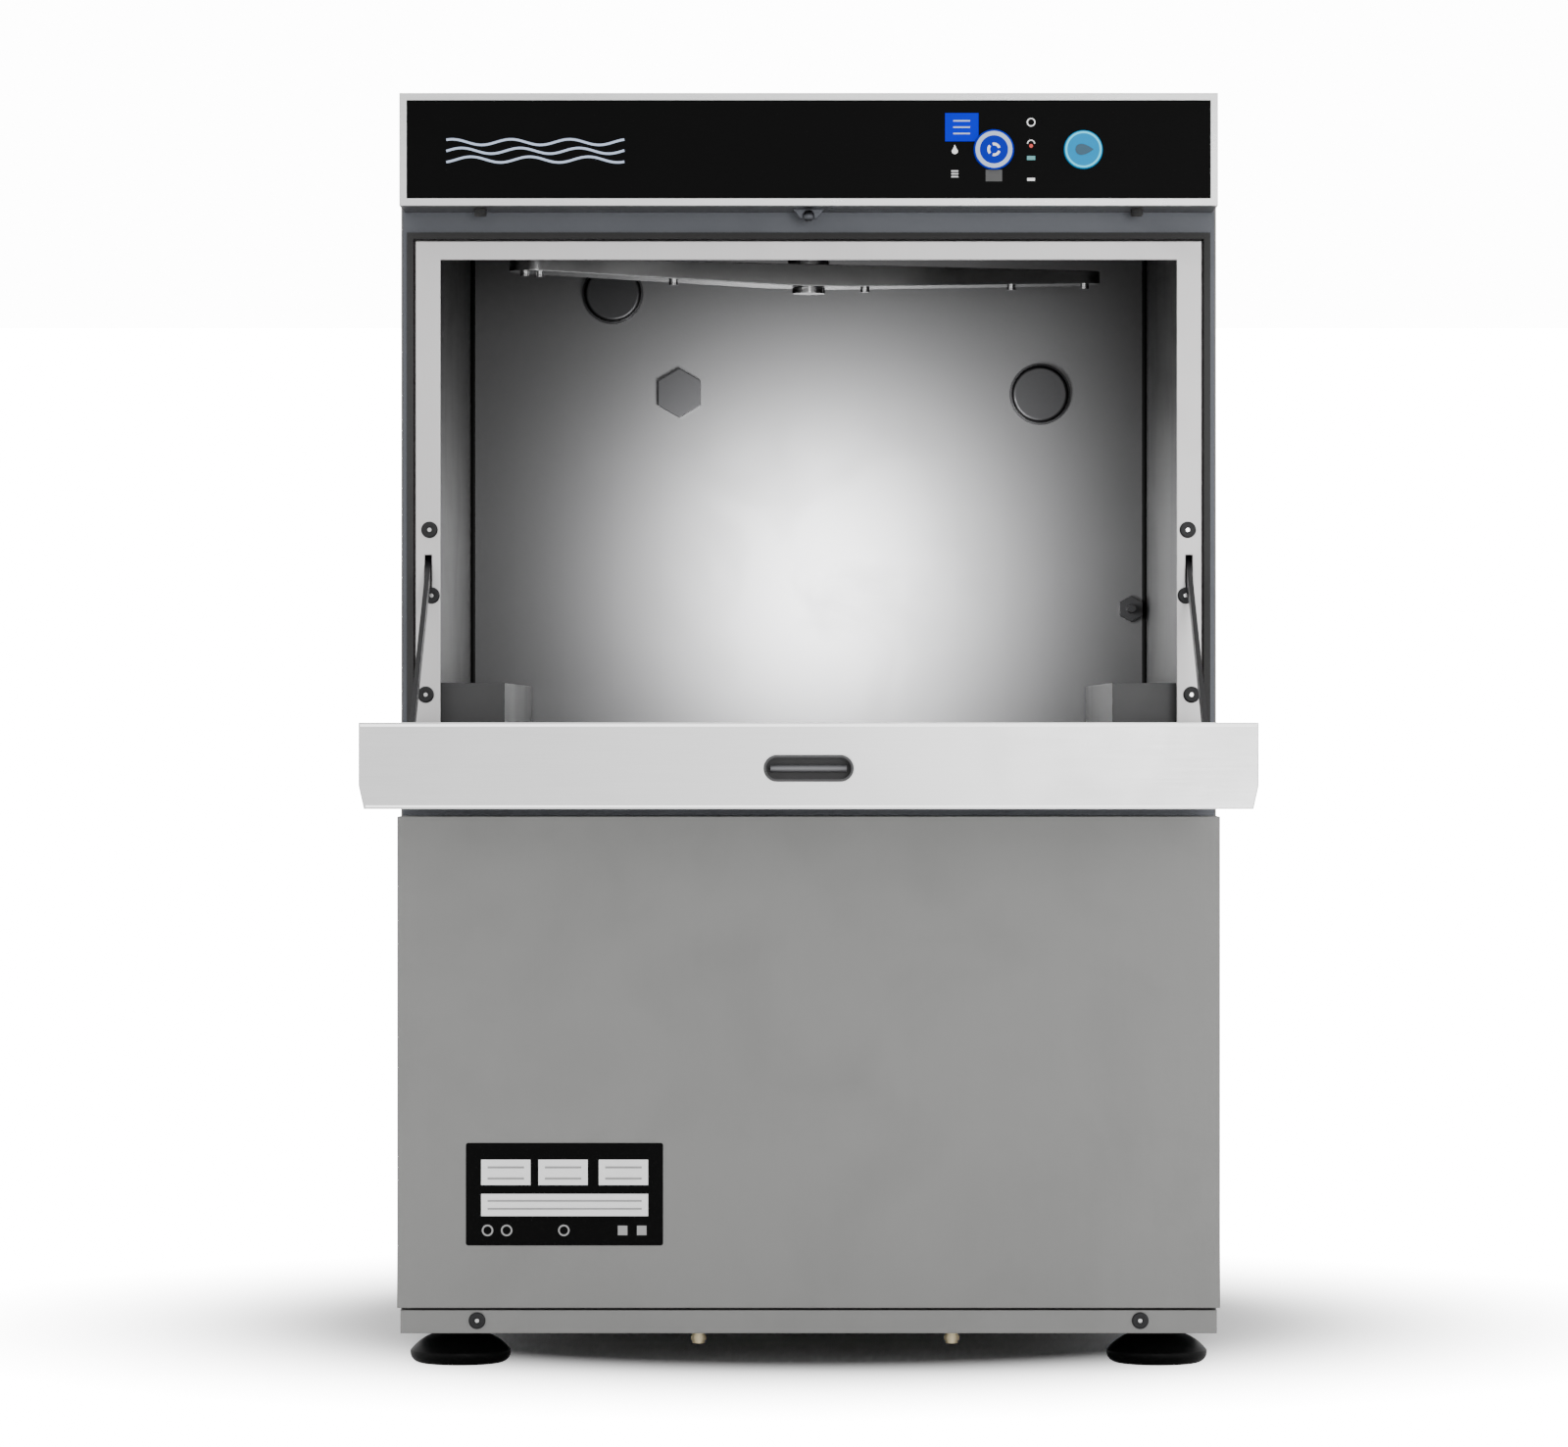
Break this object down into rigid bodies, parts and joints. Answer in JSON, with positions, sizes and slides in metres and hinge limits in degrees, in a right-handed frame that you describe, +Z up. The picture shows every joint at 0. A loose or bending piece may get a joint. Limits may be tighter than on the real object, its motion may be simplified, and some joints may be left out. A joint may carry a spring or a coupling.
{
  "type": "commercial dishwasher",
  "caption": "Undercounter front-loading commercial dishwasher with a fold-down door on stay arms, wash arms, rack rails, buttons and adjustable feet.",
  "frame": {"origin": "floor level under the middle of the whole machine's box, with the door down", "axes": "+X to the right seen from the front, +Y from the door to the back, +Z up"},
  "size_m": [0.52, 0.933, 0.806],
  "materials": {
    "casing_steel": "brushed, vertical grain",
    "frame_steel": "brushed, dull",
    "portal_steel": "satin",
    "chamber_steel": "satin",
    "door_steel": "fine brushed",
    "fascia_metal": "fine brushed",
    "overlay_black": "gloss",
    "display_glass": "lit display behind a clear window",
    "board_green": "solder resist",
    "button_blue": "gloss with a silver rim",
    "button_cyan": "gloss",
    "foot_black": "black coated iron",
    "black_plastic": "moulded",
    "grey_plastic": "moulded",
    "bright_steel": "polished",
    "black_steel": "black, satin",
    "motor_grey": "painted",
    "seal_rubber": "matt",
    "insulation_felt": "felt",
    "nipple_brass": "turned"
  },
  "bodies": {
    "root": {"arm_spindles": "bright_steel", "back_panel": "casing_steel", "base_nipples": "nipple_brass", "base_tray": "frame_steel", "cable_gland": "black_plastic", "control_bezel": "fascia_metal", "control_board": "board_green", "control_carrier": "frame_steel", "control_overlay": "overlay_black", "data_plate": "overlay_black", "display_window": "display_glass", "door_bumpers": "seal_rubber", "dosing_pumps": "grey_plastic", "drain_hose": "seal_rubber", "drain_pump": "black_plastic", "drain_spigot": "black_plastic", "front_frame": "frame_steel", "hinge_brackets": "frame_steel", "inlet_valve": "black_plastic", "kick_strip": "casing_steel", "latch_strike": "frame_steel", "lower_front_panel": "casing_steel", "mouth_seal": "seal_rubber", "panel_screws": "bright_steel", "portal_frame": "portal_steel", "probe_gland": "bright_steel", "rack_rails": "chamber_steel", "rinse_boiler": "motor_grey", "rinse_nut": "grey_plastic", "rinse_pipe": "bright_steel", "side_panel_left": "casing_steel", "side_panel_right": "casing_steel", "stay_springs": "bright_steel", "sump_cup": "black_plastic", "tank_filter": "chamber_steel", "top_panel": "casing_steel", "wall_caps": "grey_plastic", "wash_chamber": "chamber_steel", "wash_manifold": "grey_plastic", "wash_pump_housing": "black_plastic", "wash_pump_motor": "motor_grey", "wash_tank": "chamber_steel"},
    "door": {"door_outer_skin": "door_steel", "door_inner_panel": "chamber_steel", "door_insulation": "insulation_felt", "latch_cup": "black_plastic", "door_pivot_blocks": "bright_steel", "hinge_pins": "bright_steel"},
    "latch_roller": {"latch_roller": "bright_steel"},
    "stay_arm_left": {"stay_arm_left": "black_steel"},
    "stay_arm_right": {"stay_arm_right": "black_steel"},
    "upper_wash_arm": {"upper_wash_arm": "bright_steel"},
    "lower_wash_arm": {"lower_wash_arm": "bright_steel"},
    "wash_pump_rotor": {"wash_pump_rotor": "bright_steel"},
    "select_button": {"select_button": "button_blue"},
    "start_button": {"start_button": "button_cyan"},
    "foot_front_left": {"foot_front_left": "foot_black"},
    "foot_front_right": {"foot_front_right": "foot_black"},
    "foot_rear_left": {"foot_rear_left": "foot_black"},
    "foot_rear_right": {"foot_rear_right": "foot_black"}
  },
  "joints": [
    {"name": "door_hinge", "type": "hinge", "parent": "root", "child": "door", "pos_m": [0, -0.11315, 0.372], "axis": [-1, 0, 0], "range_deg": [0, 90], "deforming": ["stay_springs"]},
    {"name": "stay_arm_left_pivot", "type": "hinge", "parent": "door", "child": "stay_arm_left", "pos_m": [0, -0.25126, 0.4], "axis": [-1, 0, 0], "range_deg": [-45, 0]},
    {"name": "stay_arm_right_pivot", "type": "hinge", "parent": "door", "child": "stay_arm_right", "pos_m": [0, -0.25126, 0.4], "axis": [-1, 0, 0], "range_deg": [-45, 0]},
    {"name": "latch_roller_slide", "type": "slide", "parent": "door", "child": "latch_roller", "axis": [0, 1, 0], "range_m": [0, 0.003], "stiffness_N_per_m": 400, "springref_m": -0.002},
    {"name": "upper_arm_spin", "type": "hinge", "parent": "root", "child": "upper_wash_arm", "pos_m": [0, 0.14645, 0.71], "axis": [0, 0, 1], "continuous": true},
    {"name": "lower_arm_spin", "type": "hinge", "parent": "root", "child": "lower_wash_arm", "pos_m": [0, 0.14645, 0.385], "axis": [0, 0, 1], "continuous": true},
    {"name": "pump_rotor_spin", "type": "hinge", "parent": "root", "child": "wash_pump_rotor", "pos_m": [0, 0.06445, 0.125], "axis": [1, 0, 0], "continuous": true},
    {"name": "select_button_press", "type": "slide", "parent": "root", "child": "select_button", "axis": [0, 1, 0], "range_m": [0, 0.0015], "stiffness_N_per_m": 600, "springref_m": -0.002},
    {"name": "start_button_press", "type": "slide", "parent": "root", "child": "start_button", "axis": [0, 1, 0], "range_m": [0, 0.0015], "stiffness_N_per_m": 600, "springref_m": -0.002},
    {"name": "foot_front_left_height", "type": "slide", "parent": "root", "child": "foot_front_left", "axis": [0, 0, -1], "range_m": [0, 0.015]},
    {"name": "foot_front_right_height", "type": "slide", "parent": "root", "child": "foot_front_right", "axis": [0, 0, -1], "range_m": [0, 0.015]},
    {"name": "foot_rear_left_height", "type": "slide", "parent": "root", "child": "foot_rear_left", "axis": [0, 0, -1], "range_m": [0, 0.015]},
    {"name": "foot_rear_right_height", "type": "slide", "parent": "root", "child": "foot_rear_right", "axis": [0, 0, -1], "range_m": [0, 0.015]}
  ],
  "couplings": [
    {"joint": "stay_arm_left_pivot", "follows": "door_hinge", "ratio": -0.5},
    {"joint": "stay_arm_right_pivot", "follows": "door_hinge", "ratio": -0.5}
  ]
}
